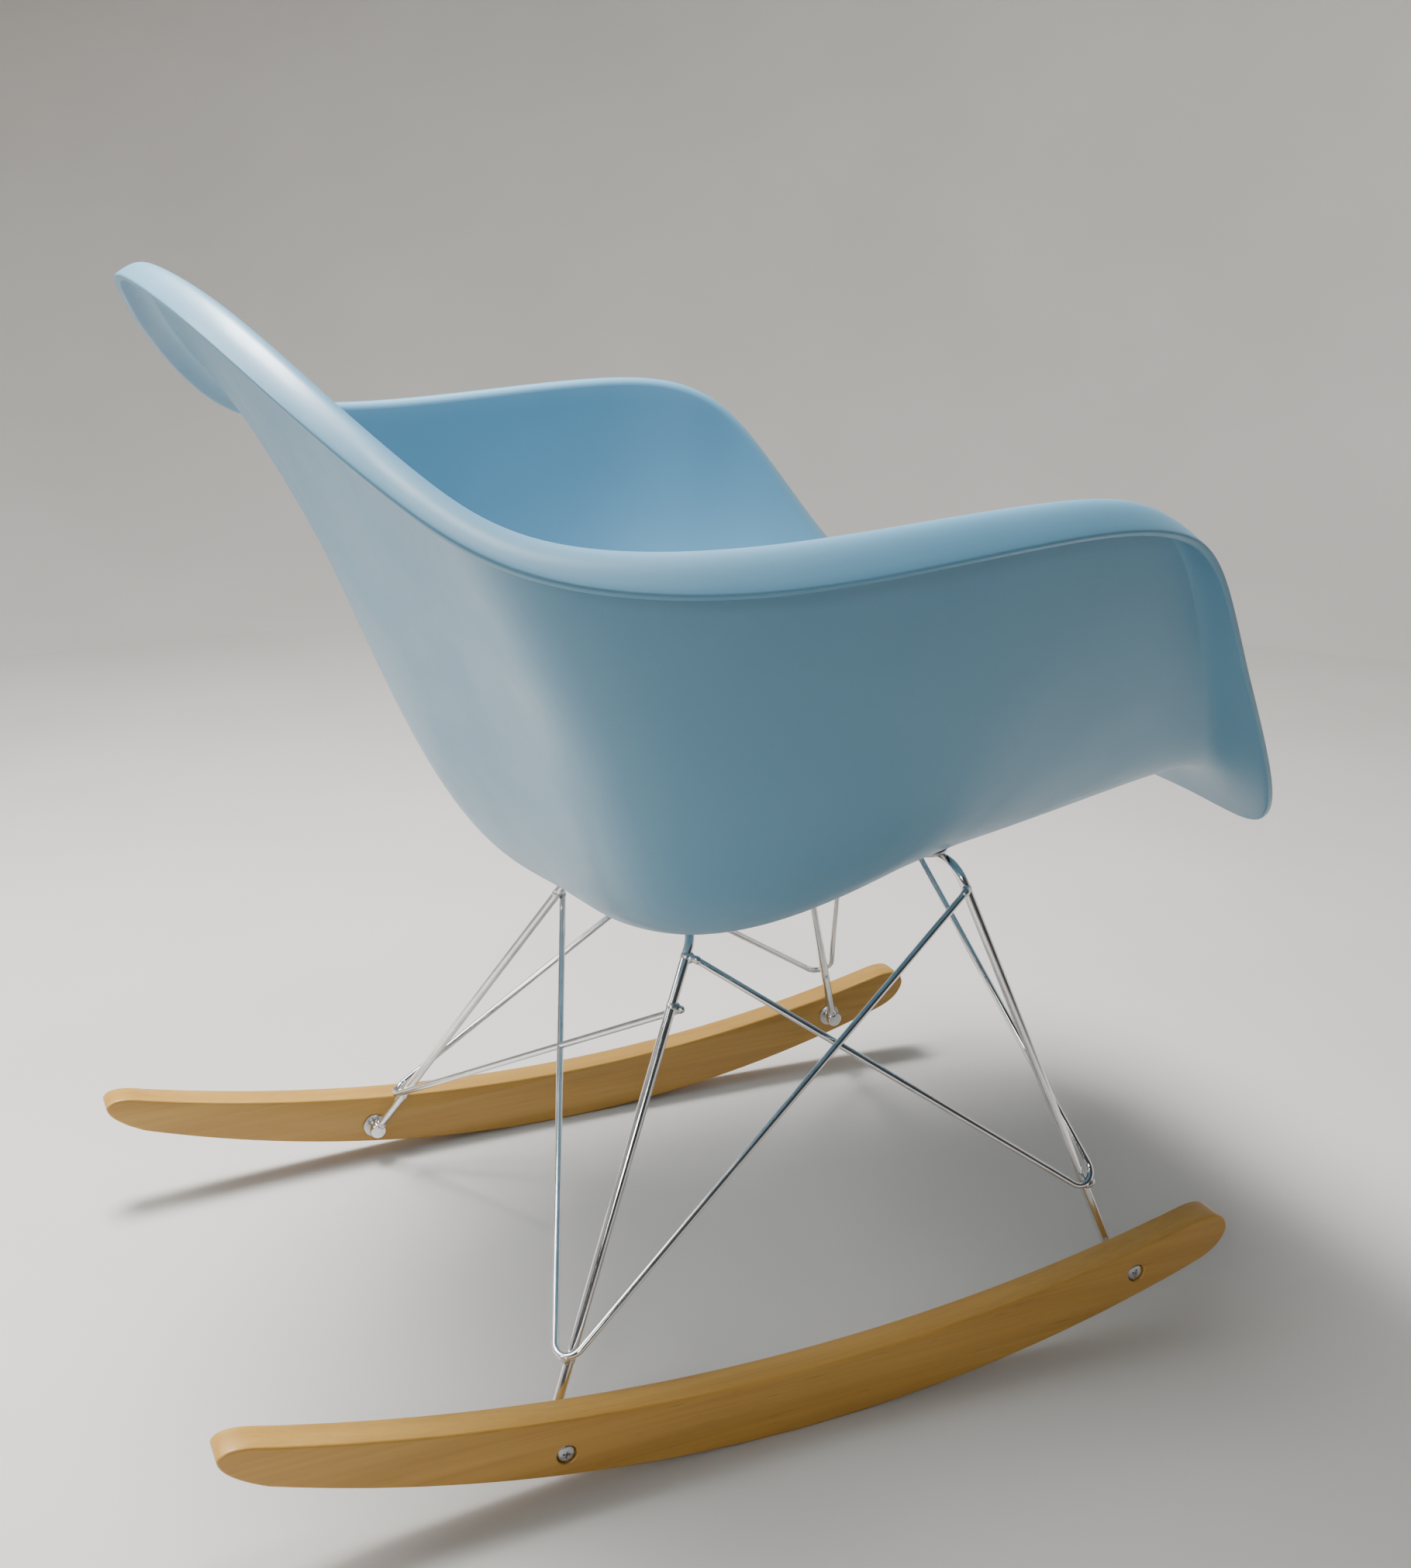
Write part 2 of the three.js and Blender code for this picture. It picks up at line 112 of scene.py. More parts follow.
def grid_faces(rows, columns):
    """Quads of a grid whose columns close on themselves."""
    faces = []
    for row in range(rows - 1):
        low, high = row * columns, (row + 1) * columns
        for c in range(columns):
            d = (c + 1) % columns
            faces.append((low + c, low + d, high + d, high + c))
    return faces


def face_outwards(obj):
    helper = bmesh.new()
    helper.from_mesh(obj.data)
    bmesh.ops.recalc_face_normals(helper, faces=helper.faces)
    helper.to_mesh(obj.data)
    helper.free()


def lathe(name, profile, sides, origin, axis):
    """A turned piece. profile: (radius, height) in millimetres, a radius of 0
    closes an end; axis: where the height points, in the row frame."""
    up = unit(np.asarray(axis, float))
    across = unit(np.cross(up, vec(0.3, 0.5, 0.8)))
    other = np.cross(up, across)
    origin = np.asarray(origin, float)
    vertices, rings = [], []
    for radius, height in profile:
        foot = origin + up * height * 0.001
        if radius == 0:
            rings.append([len(vertices)] * sides)
            vertices.append(foot)
            continue
        rings.append(list(range(len(vertices), len(vertices) + sides)))
        for k in range(sides):
            a = 2 * math.pi * k / sides
            vertices.append(foot + (across * math.cos(a) + other * math.sin(a)) * radius * 0.001)
    faces = []
    for low, high in zip(rings, rings[1:] + rings[:1]):
        for k in range(sides):
            n = (k + 1) % sides
            face = list(dict.fromkeys((low[k], low[n], high[n], high[k])))
            if len(face) > 2:
                faces.append(face)
    return new_object(name, vertices, faces)


def rounded_profile(corners, radius, steps=5):
    """Rounds the convex and hollow corners of a turned profile of (radius,
    height) points; the points on the axis stay sharp."""
    out = []
    for i, p in enumerate(corners):
        if p[0] == 0 or i in (0, len(corners) - 1):
            out.append(p)
            continue
        a, b, c = (np.array(corners[k], float) for k in (i - 1, i, i + 1))
        reach = min(radius, 0.45 * np.linalg.norm(a - b), 0.45 * np.linalg.norm(c - b))
        start, end = b + unit(a - b) * reach, b + unit(c - b) * reach
        for k in range(steps + 1):
            t = k / steps
            q = (1 - t) ** 2 * start + 2 * t * (1 - t) * b + t * t * end
            out.append((float(q[0]), float(q[1])))
    return out


# ---- shell ------------------------------------------------------------------

SHELL_WALL = 4.5
SEAT_LOW = vec(-70, 0, 277)
BOSS_R = 13
BOSS_REACH = 6  # past its lower face, before it is cut to the wall's slope
BORE_R = 2.9
BORE_DEPTH = 5.6
RIM_EDGE = 1.5  # radius of the rim's two corners
RIM_RISE = 0.38  # how far the rim rises before it rolls, as a share of the roll
PAN_REACH = 0.13  # metres from the seat's lowest point
PAN_BLEND = 0.07

# Stations of the left half from the middle of the front edge round the arm to
# the middle of the back: the rim's inner crest, the two handles of the wall's
# curve, and how far the rolled rim goes on past the crest. Millimetres.
STATIONS = (
    ((240, 0, 350), (70, 0, 283), (170, 0, 349), (46, 0, -30)),
    ((238, 110, 353), (62, 45, 282), (168, 92, 350), (46, 6, -31)),
    ((227, 190, 368), (45, 78, 280), (165, 156, 348), (41, 15, -35)),
    ((202, 229, 405), (28, 100, 278), (164, 200, 349), (29, 16, -14)),
    ((174, 256, 455), (14, 124, 277), (150, 226, 352), (17, 14, -5)),
    ((141, 279, 511), (0, 148, 277), (120, 245, 348), (11, 13, -4)),
    ((106, 291, 540), (-16, 170, 277), (84, 253, 342), (7, 14, -7)),
    ((54, 300, 549), (-34, 192, 276), (38, 260, 336), (1, 16, -10)),
    ((-34, 305, 545), (-62, 210, 275), (-36, 266, 332), (0, 18, -12)),
    ((-130, 304, 540), (-100, 208, 274), (-112, 264, 345), (-2, 18, -12)),
    ((-214, 286, 548), (-140, 184, 272), (-150, 248, 384), (-6, 15, -9)),
    ((-260, 247, 577), (-166, 144, 268), (-162, 220, 432), (-10, 12, -8)),
    ((-292, 188, 613), (-190, 96, 265), (-172, 172, 484), (-12, 8, -7)),
    ((-316, 104, 643), (-207, 48, 263), (-194, 92, 512), (-13, 3, -5)),
    ((-328, 0, 655), (-215, 0, 262), (-204, 0, 520), (-13, 0, -3)),
)


def ring_of(key):
    left = [s[key] for s in STATIONS]
    right = [(x, -y, z) for x, y, z in left[-2:0:-1]]
    return np.array(left + right, float)


def smooth_ring(points, around):
    """Points on the closed curve of even curvature through the stations."""
    n = len(points)
    system = 4 * np.eye(n) + np.roll(np.eye(n), 1, 0) + np.roll(np.eye(n), -1, 0)
    slopes = np.linalg.solve(system, 3 * (np.roll(points, -1, 0) - np.roll(points, 1, 0)))
    place = (around % 1) * n
    i = np.floor(place).astype(int) % n
    w = (place - np.floor(place))[:, None]
    p, q = points[i], points[(i + 1) % n]
    s, t = slopes[i], slopes[(i + 1) % n]
    return p + w * s + w**2 * (3 * (q - p) - 2 * s - t) + w**3 * (2 * (p - q) + s + t)


def sitting_rows(around, ups):
    """The sitting surface as an array of rows (one per up) of points."""
    crest, low, high, roll = (smooth_ring(ring_of(k), around) for k in range(4))
    lean = crest - high
    rise = lean / np.linalg.norm(lean, axis=1, keepdims=True)
    rise = rise * np.linalg.norm(roll, axis=1, keepdims=True) * RIM_RISE
    rows = []
    for up in ups:
        if up <= 1:
            v = 1 - up
            row = v**3 * SEAT_LOW + 3 * v * v * up * low + 3 * v * up * up * high + up**3 * crest
        else:
            t = up - 1
            row = crest + 2 * t * (1 - t) * rise + t * t * roll
        rows.append(row)
    return np.array(rows)


def shell_rows(around, ups, depths, outs):
    """Rows of the sitting surface, moved towards the underside by a depth and
    on past the rim by an out, both in millimetres."""
    step = 0.004
    ups = np.asarray(ups, float)
    inner = np.clip(ups, step, 2 - step)
    along = sitting_rows(around, inner + step) - sitting_rows(around, inner - step)
    across = sitting_rows(around + step, inner) - sitting_rows(around - step, inner)
    normal = np.cross(along, across)
    normal /= np.linalg.norm(normal, axis=2, keepdims=True)
    along /= np.linalg.norm(along, axis=2, keepdims=True)
    rows = sitting_rows(around, ups)
    rows += normal * np.asarray(depths, float)[:, None, None]
    rows += along * np.asarray(outs, float)[:, None, None]
    return rows


def shell_mesh():
    count = 320
    around = np.arange(count) / count
    wall = list(np.linspace(0, 1, 61)[1:])
    rim = list(1 + np.linspace(0, 1, 15)[1:])
    top = wall + rim
    # The cut edge of the rim: flat, with a small radius at both corners.
    turn = np.linspace(0, math.pi / 2, 6)[1:]
    corner = [(RIM_EDGE * (1 - math.cos(a)), 0.2 + RIM_EDGE * math.sin(a)) for a in turn]
    edge = corner + [(SHELL_WALL - depth, out) for depth, out in corner[::-1]]
    ups = top + [2] * len(edge) + top[::-1]
    depths = [0] * len(top) + [depth for depth, _ in edge] + [SHELL_WALL] * len(top)
    outs = [0] * len(top) + [out for _, out in edge] + [0] * len(top)
    rows = shell_rows(around, ups, depths, outs)
    vertices = rows.reshape(-1, 3)
    vertices = np.vstack([vertices, SEAT_LOW, SEAT_LOW - vec(0, 0, SHELL_WALL)])
    faces = grid_faces(len(rows), count)
    first, last = len(vertices) - 2, len(vertices) - 1
    base = (len(rows) - 1) * count
    for c in range(count):
        d = (c + 1) % count
        faces.append((first, d, c))
        faces.append((last, base + c, base + d))
    return new_object("shell_body", to_row(vertices), faces)


def calm_middle(obj):
    """Evens out the pan of the seat, where all the stations' curves meet."""
    group = obj.vertex_groups.new(name="pan")
    low = Vector(to_row(SEAT_LOW))
    for v in obj.data.vertices:
        reach = (Vector((v.co.x, v.co.y, 0)) - Vector((low.x, low.y, 0))).length
        if reach < PAN_REACH:
            group.add([v.index], min(1.0, (PAN_REACH - reach) / PAN_BLEND), "REPLACE")
    smooth = obj.modifiers.new("calm", "SMOOTH")
    smooth.factor = 0.5
    smooth.iterations = 40
    smooth.vertex_group = "pan"
    apply_modifiers(obj)
    obj.vertex_groups.clear()


def shell():
    """The moulded shell with its four bosses, each bored for a screw."""
    body = shell_mesh()
    calm_middle(body)
    hull = BVHTree.FromPolygons(
        [v.co for v in body.data.vertices], [p.vertices for p in body.data.polygons]
    )
    bosses, bores = [], []
    for corner in CORNERS:
        rubber = centre_of("shock_mount_" + corner)
        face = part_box("shock_mount_" + corner)[1].z + 0.0003
        origin = (rubber.x, rubber.y, face)
        profile = [(0, 0), (BOSS_R - 1.2, 0), (BOSS_R - 0.4, 0.35), (BOSS_R, 1.2)]
        profile += [(BOSS_R + 0.5, BOSS_REACH), (0, BOSS_REACH)]
        boss = lathe("boss", profile, 64, origin, (0, 0, 1))
        # The boss ends in the middle of the wall, which slopes over it.
        for v in boss.data.vertices:
            if v.co.z > face + BOSS_REACH * 0.0005:
                under = hull.ray_cast(Vector((v.co.x, v.co.y, 0)), Vector((0, 0, 1)))[0]
                v.co.z = under.z + SHELL_WALL * 0.0005
        bosses.append(boss)
        bore = [(0, -2), (BORE_R, -2), (BORE_R, BORE_DEPTH), (0, BORE_DEPTH)]
        bores.append(lathe("bore", bore, 32, origin, (0, 0, 1)))
    boolean(body, bosses, "UNION")
    boolean(body, bores, "DIFFERENCE")
    soft_shading(body, 40)
    body.name = "moulded_shell"
    return body


# ---- rods -------------------------------------------------------------------

LEG_R = 3.1
WIRE_R = 2.2
GAP = 0.3
WELD_GAP = 0.9
LEG_BEND = 17
LEG_START = 3.2  # from the middle of the foot to the rod's end
LOOP_BEND = 10
REAR_TOP = (-54, 85)
FRONT_TOP = (110, 119)
LOOP_HEIGHTS = (57, 92)
CROSS_WELD = 228
UNDER_SEAT_WELD = 40


def rounded_path(corners, bend, steps=14):
    """A polyline with its corners rounded to one radius."""
    out = [corners[0]]
    for before, corner, after in zip(corners, corners[1:], corners[2:]):
        back, on = unit(before - corner), unit(after - corner)
        half = math.acos(np.clip(back @ on, -1, 1)) / 2
        middle = corner + unit(back + on) * bend / math.sin(half)
        start = corner + back * bend / math.tan(half) - middle
        end = corner + on * bend / math.tan(half) - middle
        sweep = math.pi - 2 * half
        for k in range(steps + 1):
            a = sweep * k / steps
            out.append(middle + (start * math.sin(sweep - a) + end * math.sin(a)) / math.sin(sweep))
    return out + [corners[-1]]


def tube(name, points, radius, sides=28):
    """A round rod along a path in millimetres, with softly rounded ends."""
    points = [np.asarray(p, float) for p in points]
    tangents = [unit(b - a) for a, b in zip(points, points[1:])]
    ways = [tangents[0]]
    ways += [unit(a + b) for a, b in zip(tangents, tangents[1:])] + [tangents[-1]]
    side = unit(np.cross(ways[0], vec(0.31, 0.83, 0.47)))
    rings = []
    soft = ((0.55, 0.0), (0.86, 0.12), (1.0, 0.45))
    for i, (point, way) in enumerate(zip(points, ways)):
        side = unit(side - way * (side @ way))
        other = np.cross(way, side)
        if i == 0:
            places = [(share, point + way * radius * at) for share, at in soft]
        elif i == len(points) - 1:
            places = [(share, point - way * radius * at) for share, at in soft[::-1]]
        else:
            places = [(1.0, point)]
        for share, place in places:
            ring = []
            for k in range(sides):
                a = 2 * math.pi * k / sides
                ring.append(place + (side * math.cos(a) + other * math.sin(a)) * radius * share)
            rings.append(ring)
    vertices = [v for ring in rings for v in ring]
    faces = grid_faces(len(rings), sides)
    faces.append(tuple(range(sides))[::-1])
    last = (len(rings) - 1) * sides
    faces.append(tuple(last + k for k in range(sides)))
    obj = new_object(name, to_row(vertices), faces)
    soft_shading(obj, 50)
    return obj


def leg_line(kind, top):
    """Upper corner and lower end of a left leg, as millimetres from the bolts."""
    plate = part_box("mount_plate_" + kind + "_left")[0].z * 1000
    corner = vec(top[0], top[1], plate - GAP - LEG_R)
    low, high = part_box("foot_" + kind + "_left")
    foot = vec((low.x + high.x) / 2 - MIDDLE_X, (low.y + high.y) / 2, (low.z + high.z) / 2)
    return corner, foot * 1000


FLIPS = {"left": vec(1, 1, 1), "right": vec(1, -1, 1)}
LEGS = {"rear": leg_line("rear", REAR_TOP), "front": leg_line("front", FRONT_TOP)}


def mirrored(point):
    return point * FLIPS["right"]


def leg_pair(kind):
    corner, foot = LEGS[kind]
    way = unit(corner - foot)
    end = foot + way * LEG_START
    path = rounded_path([end, corner, mirrored(corner), mirrored(end)], LEG_BEND, 16)
    return tube(kind + "_leg_bent_rod", path, LEG_R)


def on_leg(kind, height):
    corner, foot = LEGS[kind]
    return foot + (corner - foot) * (height - foot[2]) / (corner[2] - foot[2])


def beside_leg(kind, height, towards):
    corner, foot = LEGS[kind]
    axis = unit(corner - foot)
    side = towards - axis * (towards @ axis)
    return on_leg(kind, height) + unit(side) * (LEG_R + WIRE_R + WELD_GAP)


def brace_paths():
    """The wires of the left side: name, path, loop's weld, leg and height."""
    cross = mirrored(beside_leg("rear", CROSS_WELD, vec(1, 0.35, 0)))
    front = beside_leg("front", LEGS["front"][0][2] - 14, vec(-0.6, 1, 0))
    rear = beside_leg("rear", LEGS["rear"][0][2] - 13, vec(0.9, 0.6, 0))
    under = LEGS["front"][0] + vec(LEG_R + WIRE_R + GAP, 0, 0)
    under[1] = UNDER_SEAT_WELD
    made = []
    for name, kind, height, ends in (
        ("rear_brace", "rear", LOOP_HEIGHTS[0], (cross, front)),
        ("front_brace", "front", LOOP_HEIGHTS[1], (rear, under)),
    ):
        start = on_leg(kind, height)
        outer = np.cross(ends[0] - start, ends[1] - start)
        if outer[1] < 0:
            outer = -outer
        loop = beside_leg(kind, height, outer)
        a, b = unit(ends[0] - loop), unit(ends[1] - loop)
        half = math.acos(a @ b) / 2
        drop = LOOP_BEND * (1 / math.sin(half) - 1)
        corner = loop - unit(a + b) * drop
        path = rounded_path([ends[0], corner, ends[1]], LOOP_BEND, 16)
        made.append((name, path, loop, kind, height))
    return made


def weld_bead(name, places, radius):
    """A bead of weld metal round two touching rods, from merged blobs.
    places: each blob's centre, direction, radius and half length."""
    helper = bmesh.new()
    for centre, way, rod, reach in places:
        way = unit(way)
        turn = Vector(way).to_track_quat("Z", "Y").to_matrix().to_4x4()
        spot = Matrix.Translation(Vector(to_row(centre))) @ turn
        size = Matrix.Diagonal((rod * 0.001, rod * 0.001, reach * 0.001, 1))
        bmesh.ops.create_icosphere(helper, subdivisions=3, radius=1, matrix=spot @ size)
    mesh = bpy.data.meshes.new(name)
    helper.to_mesh(mesh)
    helper.free()
    obj = bpy.data.objects.new(name, mesh)
    bpy.context.scene.collection.objects.link(obj)
    remesh = obj.modifiers.new("merge", "REMESH")
    remesh.mode = "VOXEL"
    remesh.voxel_size = radius * 0.0001
    smooth = obj.modifiers.new("flow", "SMOOTH")
    smooth.factor = 0.5
    smooth.iterations = 6
    apply_modifiers(obj)
    soft_shading(obj, 80)
    return obj


def base():
    """Legs, braces and the weld beads that join them."""
    pieces = [(leg_pair("rear"), ["rear_leg_rod"]), (leg_pair("front"), ["front_leg_rod"])]
    beads = []
    for name, path, loop, kind, height in brace_paths():
        for label, flip in FLIPS.items():
            wire = tube(name + "_wire_" + label, [p * flip for p in path], WIRE_R)
            pieces.append((wire, [name + "_" + label]))
            leg = LEGS[kind]
            axis = (leg[0] - leg[1]) * flip
            across = (path[-1] - path[0]) * flip
            on = on_leg(kind, height) * flip
            touch = (loop * flip + on) / 2
            places = [
                (on, axis, LEG_R + 0.35, 5.0),
                (loop * flip, across, WIRE_R + 0.35, 4.2),
                (touch, axis, 2.6, 4.0),
            ]
            beads.append(weld_bead("weld_" + name + "_loop_" + label, places, 4))
            for end, other, tag in ((path[0], path[1], "rear"), (path[-1], path[-2], "front")):
                places = end_weld(end, other, flip)
                beads.append(weld_bead("weld_" + name + "_" + tag + "_end_" + label, places, 4))
    for kind in LEGS:
        corner, foot = LEGS[kind]
        for label, flip in FLIPS.items():
            way = unit(corner - foot) * flip
            start = foot * flip
            places = [
                (start + way * 6.4, way, LEG_R + 0.7, 2.6),
                (start + way * 4.6, way, 4.6, 1.7),
            ]
            beads.append(weld_bead("weld_foot_" + kind + "_" + label, places, 4))
    return pieces, beads


def nearest_rod(point):
    """The closest axis point of a leg or cross-piece, and its direction."""
    best = None
    for corner, foot in LEGS.values():
        runs = [(foot, corner), (corner, mirrored(corner)), (mirrored(corner), mirrored(foot))]
        for a, b in runs:
            t = np.clip((point - a) @ (b - a) / ((b - a) @ (b - a)), 0, 1)
            close = a + t * (b - a)
            gap = np.linalg.norm(close - point)
            if best is None or gap < best[0]:
                best = (gap, close, b - a)
    return best[1], best[2]


def end_weld(end, other, flip):
    close, way = nearest_rod(end)
    inward = unit(other - end)
    return [
        (close * flip, way * flip, LEG_R + 0.35, 4.6),
        ((end + inward * 1.2) * flip, inward * flip, WIRE_R + 0.4, 3.8),
        ((close + end) / 2 * flip, way * flip, 2.5, 3.6),
    ]


# ---- rockers and fastenings ---------------------------------------------------

FLOOR_RADIUS = 913
FLOOR_X = -40
TOP_ARC = (-44, 1251, 1211)
REST_HALF = 20
ROCKER_REAR = -379
ROCKER_FRONT = 258.5
ROCKER_EDGE = 1.6
HOLE_R = 5.9  # sunk hole for the bolt's head
SHANK_HOLE_R = 3.3
HEAD_REST = 4.1  # depth of the sunk hole
HEAD_R = 5.6
SHANK_R = 3
PLATE_BORE_R = 2.9
THREAD_PITCH = 0.8


def rocker_outline():
    """Side outline of a rocker in millimetres: two arcs and rounded ends."""
    radius = math.sqrt(FLOOR_RADIUS**2 - REST_HALF**2)

    def floor_at(x):
        return radius - math.sqrt(radius**2 - (x - FLOOR_X) ** 2)

    def top_at(x):
        return TOP_ARC[1] - math.sqrt(TOP_ARC[2] ** 2 - (x - TOP_ARC[0]) ** 2)

    def bezier(points, steps=18):
        points = [np.array(p, float) for p in points]
        out = []
        for k in range(1, steps):
            t = k / steps
            level = points
            while len(level) > 1:
                level = [a * (1 - t) + b * t for a, b in zip(level, level[1:])]
            out.append(level[0])
        return out

    rear, front = ROCKER_REAR + 25, ROCKER_FRONT - 22
    out = [np.array([x, floor_at(x)]) for x in np.linspace(rear, front, 110)]
    tip = (ROCKER_FRONT, floor_at(ROCKER_FRONT) + 12)
    out += bezier([out[-1], (ROCKER_FRONT - 3, floor_at(ROCKER_FRONT) - 1), tip])
    out.append(np.array(tip))
    start = np.array([front - 2, top_at(front - 2)])
    out += bezier([tip, (ROCKER_FRONT - 1, top_at(ROCKER_FRONT) - 1), start])
    out += [np.array([x, top_at(x)]) for x in np.linspace(front - 2, rear + 3, 110)]
    tail = (ROCKER_REAR, floor_at(ROCKER_REAR) + 13)
    out += bezier([out[-1], (ROCKER_REAR + 4, top_at(ROCKER_REAR)), tail])
    out.append(np.array(tail))
    out += bezier([tail, (ROCKER_REAR, floor_at(ROCKER_REAR) + 3), out[0]])
    return np.array(out)


def rocker(label):
    """One bent wooden rocker with softened edges and two sunk bolt holes."""
    low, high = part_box("rocker_" + label)
    inner, outer = low.y, high.y
    side = 1 if label == "left" else -1
    outline = rocker_outline()
    ahead, behind = np.roll(outline, -1, 0), np.roll(outline, 1, 0)
    run = ahead - behind
    normal = np.stack([-run[:, 1], run[:, 0]], 1)
    normal /= np.linalg.norm(normal, axis=1, keepdims=True)
    rings = []
    steps = 5
    for k in range(steps + 1):
        a = math.pi / 2 * k / steps
        y = inner * 1000 + ROCKER_EDGE * (1 - math.cos(a))
        rings.append((ROCKER_EDGE * (1 - math.sin(a)), y))
    rings += [(inset, (inner + outer) * 1000 - y) for inset, y in rings[::-1]]
    vertices = []
    for inset, y in rings:
        for (x, z), (nx, nz) in zip(outline, normal):
            vertices.append((x + nx * inset, y, z + nz * inset))
    count = len(outline)
    faces = grid_faces(len(rings), count)
    faces.append(tuple(range(count))[::-1])
    last = (len(rings) - 1) * count
    faces.append(tuple(last + k for k in range(count)))
    obj = new_object("bent_rocker_" + label, to_row(vertices), faces)
    face_outwards(obj)
    cuts = []
    for end in ("rear_", "front_"):
        bolt = centre_of("bolt_" + end + label)
        mouth = (bolt.x, outer if side > 0 else inner, bolt.z)
        profile = [(0, -30), (SHANK_HOLE_R, -30), (SHANK_HOLE_R, -HEAD_REST), (HOLE_R, -HEAD_REST)]
        profile += [(HOLE_R, -0.5), (HOLE_R + 0.5, 0), (HOLE_R + 0.5, 3), (0, 3)]
        cuts.append(lathe("hole", profile, 48, mouth, (0, side, 0)))
    boolean(obj, cuts, "DIFFERENCE")
    soft_shading(obj, 32)
    return obj


def cross_recess(obj, origin, axis, size, depth):
    """Cuts a cross-shaped driver recess with sloping walls into a head."""
    up = unit(np.asarray(axis, float))
    across = unit(np.cross(up, vec(0.2, 0.4, 0.9)))
    other = np.cross(up, across)
    tools = []
    for long, short in ((across, other), (other, across)):
        vertices = []
        for height, length, width in ((0.4, size, size * 0.3), (-depth, size * 0.5, size * 0.16)):
            for i, j in ((-1, -1), (1, -1), (1, 1), (-1, 1)):
                spot = long * i * length + short * j * width + up * height
                vertices.append(np.asarray(origin, float) + spot * 0.001)
        faces = [(0, 1, 2, 3), (7, 6, 5, 4), (0, 4, 5, 1), (1, 5, 6, 2), (2, 6, 7, 3), (3, 7, 4, 0)]
        tool = new_object("recess", vertices, faces)
        face_outwards(tool)
        tools.append(tool)
    boolean(obj, tools, "DIFFERENCE")


def foot_fastening(corner):
    """Bolt with a domed cross-recess head, plain washer and tapped foot."""
    side = 1 if corner.endswith("left") else -1
    made = []
    low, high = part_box("bolt_" + corner)
    spot = centre_of("bolt_" + corner)
    head = high.y if side > 0 else low.y
    origin = (spot.x, head, spot.z)
    shank = (high.y - low.y) * 1000
    profile = [(0, -shank), (2.6, -shank), (SHANK_R, -shank + 0.6), (SHANK_R, -3.2)]
    profile += [(5.3, -3.2), (HEAD_R, -2.9), (HEAD_R, -1.5)]
    profile += [(5.25, -0.95), (4.5, -0.48), (3.4, -0.18), (2.0, -0.03), (0, 0)]
    bolt = lathe("socket_bolt_" + corner, profile, 56, origin, (0, side, 0))
    cross_recess(bolt, origin, (0, side, 0), 2.7, 1.9)
    made.append((bolt, "bolt_" + corner, "fitting_steel"))
    bore = SHANK_HOLE_R
    for name, node in (("plain_washer_", "washer_"), ("tapped_foot_", "foot_")):
        low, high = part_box(node + corner)
        radius = (high.x - low.x) * 500
        length = (high.y - low.y) * 1000
        origin = ((low.x + high.x) / 2, low.y if side > 0 else high.y, (low.z + high.z) / 2)
        if node == "washer_":
            ring = [(bore, 0), (radius, 0), (radius, length), (bore, length)]
            profile = rounded_profile(ring, 0.35, 4)
        else:
            ring = [(0, 0), (radius, 0), (radius, length), (bore, length), (bore, 2.4), (0, 2.4)]
            profile = rounded_profile(ring, 1.1, 6)
        piece = lathe(name + corner, profile, 56, origin, (0, side, 0))
        made.append((piece, node + corner, "fitting_steel" if node == "washer_" else "foot_chrome"))
    return made


def seat_mount(corner):
    """Rubber shock mount with a waisted side, steel plate and its screw."""
    made = []
    low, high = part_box("shock_mount_" + corner)
    height = (high.z - low.z) * 1000
    radius = (high.x - low.x) * 500
    spot = ((low.x + high.x) / 2, (low.y + high.y) / 2, low.z)
    profile = [(PLATE_BORE_R, 0), (radius - 1.2, 0), (radius - 0.3, 0.4), (radius, 1.2)]
    profile.append((radius - 0.3, 1.9))
    profile += [(radius - 1.0, height * 0.5), (radius - 0.3, height - 1.9), (radius, height - 1.2)]
    profile += [(radius - 0.3, height - 0.4), (radius - 1.2, height), (PLATE_BORE_R, height)]
    profile = rounded_profile(profile, 0.5, 3)
    pad = lathe("rubber_mount_" + corner, profile, 72, spot, (0, 0, 1))
    made.append((pad, "shock_mount_" + corner, "mount_rubber"))
    low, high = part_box("mount_plate_" + corner)
    thick = (high.z - low.z) * 1000
    radius = (high.x - low.x) * 500
    ring = [(PLATE_BORE_R, 0), (radius, 0), (radius, thick), (PLATE_BORE_R, thick)]
    ring = rounded_profile(ring, 0.6, 4)
    plate = lathe("steel_plate_" + corner, ring, 72, (spot[0], spot[1], low.z), (0, 0, 1))
    made.append((plate, "mount_plate_" + corner, "fitting_steel"))
    low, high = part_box("mount_screw_" + corner)
    length = (high.z - low.z) * 1000
    profile = [(0, 0), (1.8, 0.05), (3.0, 0.3), (3.9, 0.8), (4.5, 1.6), (4.6, 2.3)]
    profile += [(4.6, 2.8), (2.5, 2.8)]
    turns = int((length - 4.2) / THREAD_PITCH)
    for k in range(turns):
        profile += [(2.5, 3.0 + k * THREAD_PITCH), (2.1, 3.4 + k * THREAD_PITCH)]
    profile += [(2.5, 3.0 + turns * THREAD_PITCH), (2.2, length), (0, length)]
    screw = lathe("pan_screw_" + corner, profile, 48, (spot[0], spot[1], low.z), (0, 0, 1))
    cross_recess(screw, (spot[0], spot[1], low.z), (0, 0, -1), 2.3, 1.6)
    made.append((screw, "mount_screw_" + corner, "fitting_steel"))
    return made


# ---- materials ----------------------------------------------------------------


